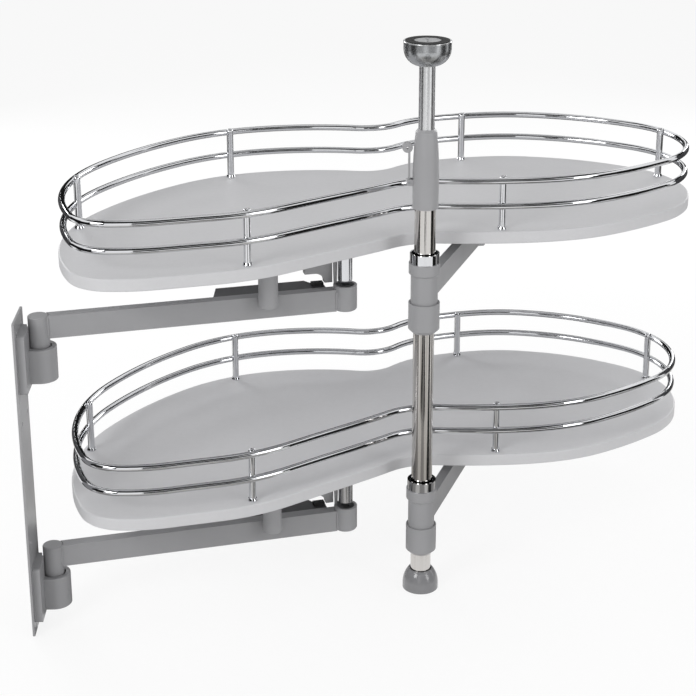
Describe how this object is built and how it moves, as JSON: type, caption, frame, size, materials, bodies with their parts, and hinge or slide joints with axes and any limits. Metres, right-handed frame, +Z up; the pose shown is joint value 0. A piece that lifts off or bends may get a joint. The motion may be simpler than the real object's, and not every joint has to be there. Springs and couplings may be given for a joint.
{
  "type": "blind corner pull-out",
  "caption": "Two S-shaped trays with chromed rails that swing out of a corner cabinet on a telescopic post, guided by control arms on a wall plate.",
  "frame": {"origin": "on the post's axis at the underside of the foot", "axes": "+X along the cabinet's front to the right, +Y into the cabinet, +Z up"},
  "size_m": [0.8198, 0.5014, 0.687],
  "materials": {
    "chrome_steel": "polished chrome plating",
    "polished_steel": "polished",
    "bare_steel": "turned and zinc plated",
    "satin_aluminium": "satin anodised",
    "grey_paint": "satin grey powder coat",
    "dark_paint": "satin dark coat",
    "foot_grey": "glossy grey",
    "grey_plastic": "moulded grey",
    "black_rubber": "matt black",
    "white_board": "white coated board, rounded edge"
  },
  "bodies": {
    "post": {"foot": "foot_grey", "post_tube": "chrome_steel", "clamp_sleeve": "grey_plastic", "clamp_lever_pin": "bare_steel", "wall_plate": "grey_paint", "lower_bracket": "grey_paint", "upper_bracket": "grey_paint", "wall_pivot_pins": "bare_steel", "stop_collars": "grey_paint", "hub_seats": "grey_paint", "collar_screws": "bare_steel"},
    "extension": {"extension_tube": "satin_aluminium", "extension_guide": "grey_plastic", "cap_cup": "polished_steel", "cap_seal": "black_rubber", "cap_disc": "bare_steel"},
    "clamp_lever": {"clamp_lever": "grey_plastic"},
    "lower_arm": {"lower_hub": "grey_paint", "lower_cover_ring": "chrome_steel", "lower_support_arm": "grey_paint", "lower_pivot_sleeve": "grey_paint"},
    "lower_tray": {"lower_board": "white_board", "lower_uprights": "chrome_steel", "lower_ferrules": "chrome_steel", "lower_top_rail": "chrome_steel", "lower_mid_rail": "chrome_steel", "lower_pivot_plate": "grey_paint", "lower_pivot_bolt": "bare_steel", "lower_tray_screws": "bare_steel", "lower_guide_pin": "chrome_steel", "lower_pin_bracket": "grey_plastic", "lower_stop_buffer": "grey_plastic", "lower_buffer_core": "black_rubber"},
    "lower_link": {"lower_control_arm": "grey_paint", "lower_link_barrel": "grey_paint", "lower_link_bush": "grey_paint", "lower_link_plate": "dark_paint", "lower_link_bumper": "black_rubber"},
    "upper_arm": {"upper_hub": "grey_paint", "upper_cover_ring": "chrome_steel", "upper_support_arm": "grey_paint", "upper_pivot_sleeve": "grey_paint"},
    "upper_tray": {"upper_board": "white_board", "upper_uprights": "chrome_steel", "upper_ferrules": "chrome_steel", "upper_top_rail": "chrome_steel", "upper_mid_rail": "chrome_steel", "upper_pivot_plate": "grey_paint", "upper_pivot_bolt": "bare_steel", "upper_tray_screws": "bare_steel", "upper_guide_pin": "chrome_steel", "upper_pin_bracket": "grey_plastic", "upper_stop_buffer": "grey_plastic", "upper_buffer_core": "black_rubber"},
    "upper_link": {"upper_control_arm": "grey_paint", "upper_link_barrel": "grey_paint", "upper_link_bush": "grey_paint", "upper_link_plate": "dark_paint", "upper_link_bumper": "black_rubber"}
  },
  "joints": [
    {"name": "extension_slide", "type": "slide", "parent": "post", "child": "extension", "axis": [0, 0, 1], "range_m": [-0.07, 0.037]},
    {"name": "clamp_lever_turn", "type": "hinge", "parent": "post", "child": "clamp_lever", "pos_m": [-0.0192, 0, 0.5226], "axis": [0, -1, 0], "range_deg": [0, 90]},
    {"name": "lower_arm_swing", "type": "hinge", "parent": "post", "child": "lower_arm", "pos_m": [0, 0, 0.112], "axis": [0, 0, 1], "range_deg": [0, 90]},
    {"name": "lower_tray_turn", "type": "hinge", "parent": "lower_arm", "child": "lower_tray", "pos_m": [0.08639, 0.19714, 0.112], "axis": [0, 0, 1], "range_deg": [-19.14, 0]},
    {"name": "lower_link_swing", "type": "hinge", "parent": "post", "child": "lower_link", "pos_m": [-0.442, -0.056, 0.07], "axis": [0, 0, 1], "range_deg": [-26.28, 0]},
    {"name": "upper_arm_swing", "type": "hinge", "parent": "post", "child": "upper_arm", "pos_m": [0, 0, 0.402], "axis": [0, 0, 1], "range_deg": [0, 90]},
    {"name": "upper_tray_turn", "type": "hinge", "parent": "upper_arm", "child": "upper_tray", "pos_m": [0.08639, 0.19714, 0.402], "axis": [0, 0, 1], "range_deg": [-19.14, 0]},
    {"name": "upper_link_swing", "type": "hinge", "parent": "post", "child": "upper_link", "pos_m": [-0.442, -0.056, 0.36], "axis": [0, 0, 1], "range_deg": [-26.28, 0]}
  ],
  "couplings": [
    {"joint": "lower_tray_turn", "follows": "lower_arm_swing", "ratio": -0.21264},
    {"joint": "lower_link_swing", "follows": "lower_arm_swing", "ratio": -0.29191},
    {"joint": "upper_tray_turn", "follows": "upper_arm_swing", "ratio": -0.21264},
    {"joint": "upper_link_swing", "follows": "upper_arm_swing", "ratio": -0.29191}
  ]
}
